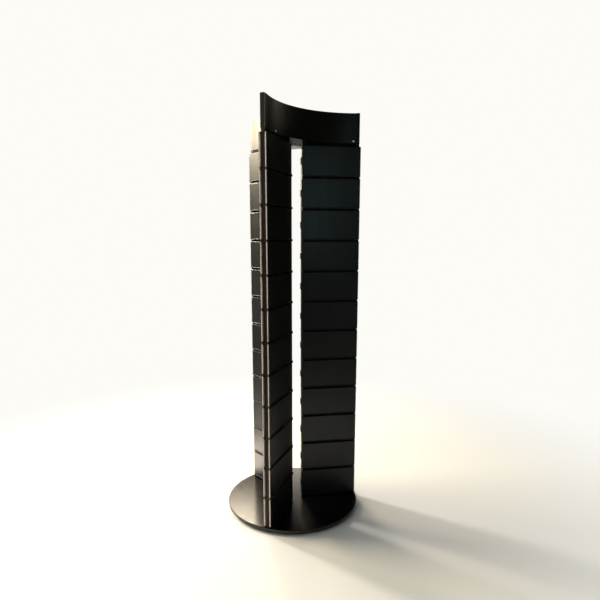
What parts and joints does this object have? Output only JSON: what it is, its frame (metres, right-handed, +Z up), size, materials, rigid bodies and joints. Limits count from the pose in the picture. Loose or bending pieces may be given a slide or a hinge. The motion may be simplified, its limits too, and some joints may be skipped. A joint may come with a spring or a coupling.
{
  "type": "rotating tile display rack",
  "caption": "Floor-standing display rack: three double-sided wings of black folded slats stand on a round deck that turns on a ball bearing, under a curved header.",
  "frame": {"origin": "centre of the footprint, on the floor under the rubber feet", "axes": "+Z up along the turning axis, wing a points along -Y, wing b towards +X +Y and wing c towards -X +Y"},
  "size_m": [0.5999, 0.6, 1.7468],
  "materials": {
    "base_steel": "satin black paint on steel plate",
    "foot_rubber": "matt black rubber",
    "bearing_ring": "turned, greased",
    "plated_screw": "zinc plated",
    "cage_plastic": "natural nylon",
    "bearing_ball": "polished steel",
    "deck_enamel": "smooth satin black",
    "black_plastic": "matt black",
    "bright_screw": "bright plated",
    "zinc_grey": "zinc grey, satin",
    "slat_powder_coat": "satin black powder coat",
    "pale_trim": "satin pale champagne",
    "header_powder_coat": "deep black, satin",
    "frame_powder_coat": "satin black powder coat"
  },
  "bodies": {
    "base": {"floor_plate": "base_steel", "rubber_feet": "foot_rubber", "bearing_lower_ring": "bearing_ring", "lower_ring_screws": "plated_screw"},
    "ball_cage": {"ball_cage": "cage_plastic", "bearing_balls": "bearing_ball"},
    "turntable": {"bearing_upper_ring": "bearing_ring", "upper_ring_screws": "plated_screw", "turntable_deck": "deck_enamel", "deck_bolts": "plated_screw", "post_foot_plugs": "base_steel", "post_top_plugs": "black_plastic", "inner_post_a": "frame_powder_coat", "inner_post_b": "frame_powder_coat", "inner_post_c": "frame_powder_coat", "tip_post_a": "frame_powder_coat", "tip_post_b": "frame_powder_coat", "tip_post_c": "frame_powder_coat", "bottom_rail_a": "frame_powder_coat", "bottom_rail_b": "frame_powder_coat", "bottom_rail_c": "frame_powder_coat", "top_rail_a": "frame_powder_coat", "top_rail_b": "frame_powder_coat", "top_rail_c": "frame_powder_coat", "web_sheet_a": "frame_powder_coat", "web_sheet_b": "frame_powder_coat", "web_sheet_c": "frame_powder_coat", "header_fin_a": "frame_powder_coat", "header_fin_b": "frame_powder_coat", "header_fin_c": "frame_powder_coat", "slats_a_left": "slat_powder_coat", "slats_a_right": "slat_powder_coat", "slats_b_left": "slat_powder_coat", "slats_b_right": "slat_powder_coat", "slats_c_left": "slat_powder_coat", "slats_c_right": "slat_powder_coat", "slat_end_trims_a": "pale_trim", "slat_end_trims_b": "pale_trim", "slat_end_trims_c": "pale_trim", "slat_clips_a": "black_plastic", "slat_clips_b": "black_plastic", "slat_clips_c": "black_plastic", "groove_stops_a": "black_plastic", "groove_stops_b": "black_plastic", "groove_stops_c": "black_plastic", "header_panel_ab": "header_powder_coat", "header_panel_bc": "header_powder_coat", "header_panel_ca": "header_powder_coat", "header_screws": "bright_screw", "header_spacers": "plated_screw", "top_hub": "zinc_grey", "hub_screws": "plated_screw"}
  },
  "joints": [
    {"name": "turntable_spin", "type": "hinge", "parent": "base", "child": "turntable", "pos_m": [0, 0, 0.017], "axis": [0, 0, 1], "continuous": true},
    {"name": "cage_spin", "type": "hinge", "parent": "base", "child": "ball_cage", "pos_m": [0, 0, 0.017], "axis": [0, 0, 1], "continuous": true}
  ],
  "couplings": [
    {"joint": "cage_spin", "follows": "turntable_spin", "ratio": 0.4858}
  ]
}
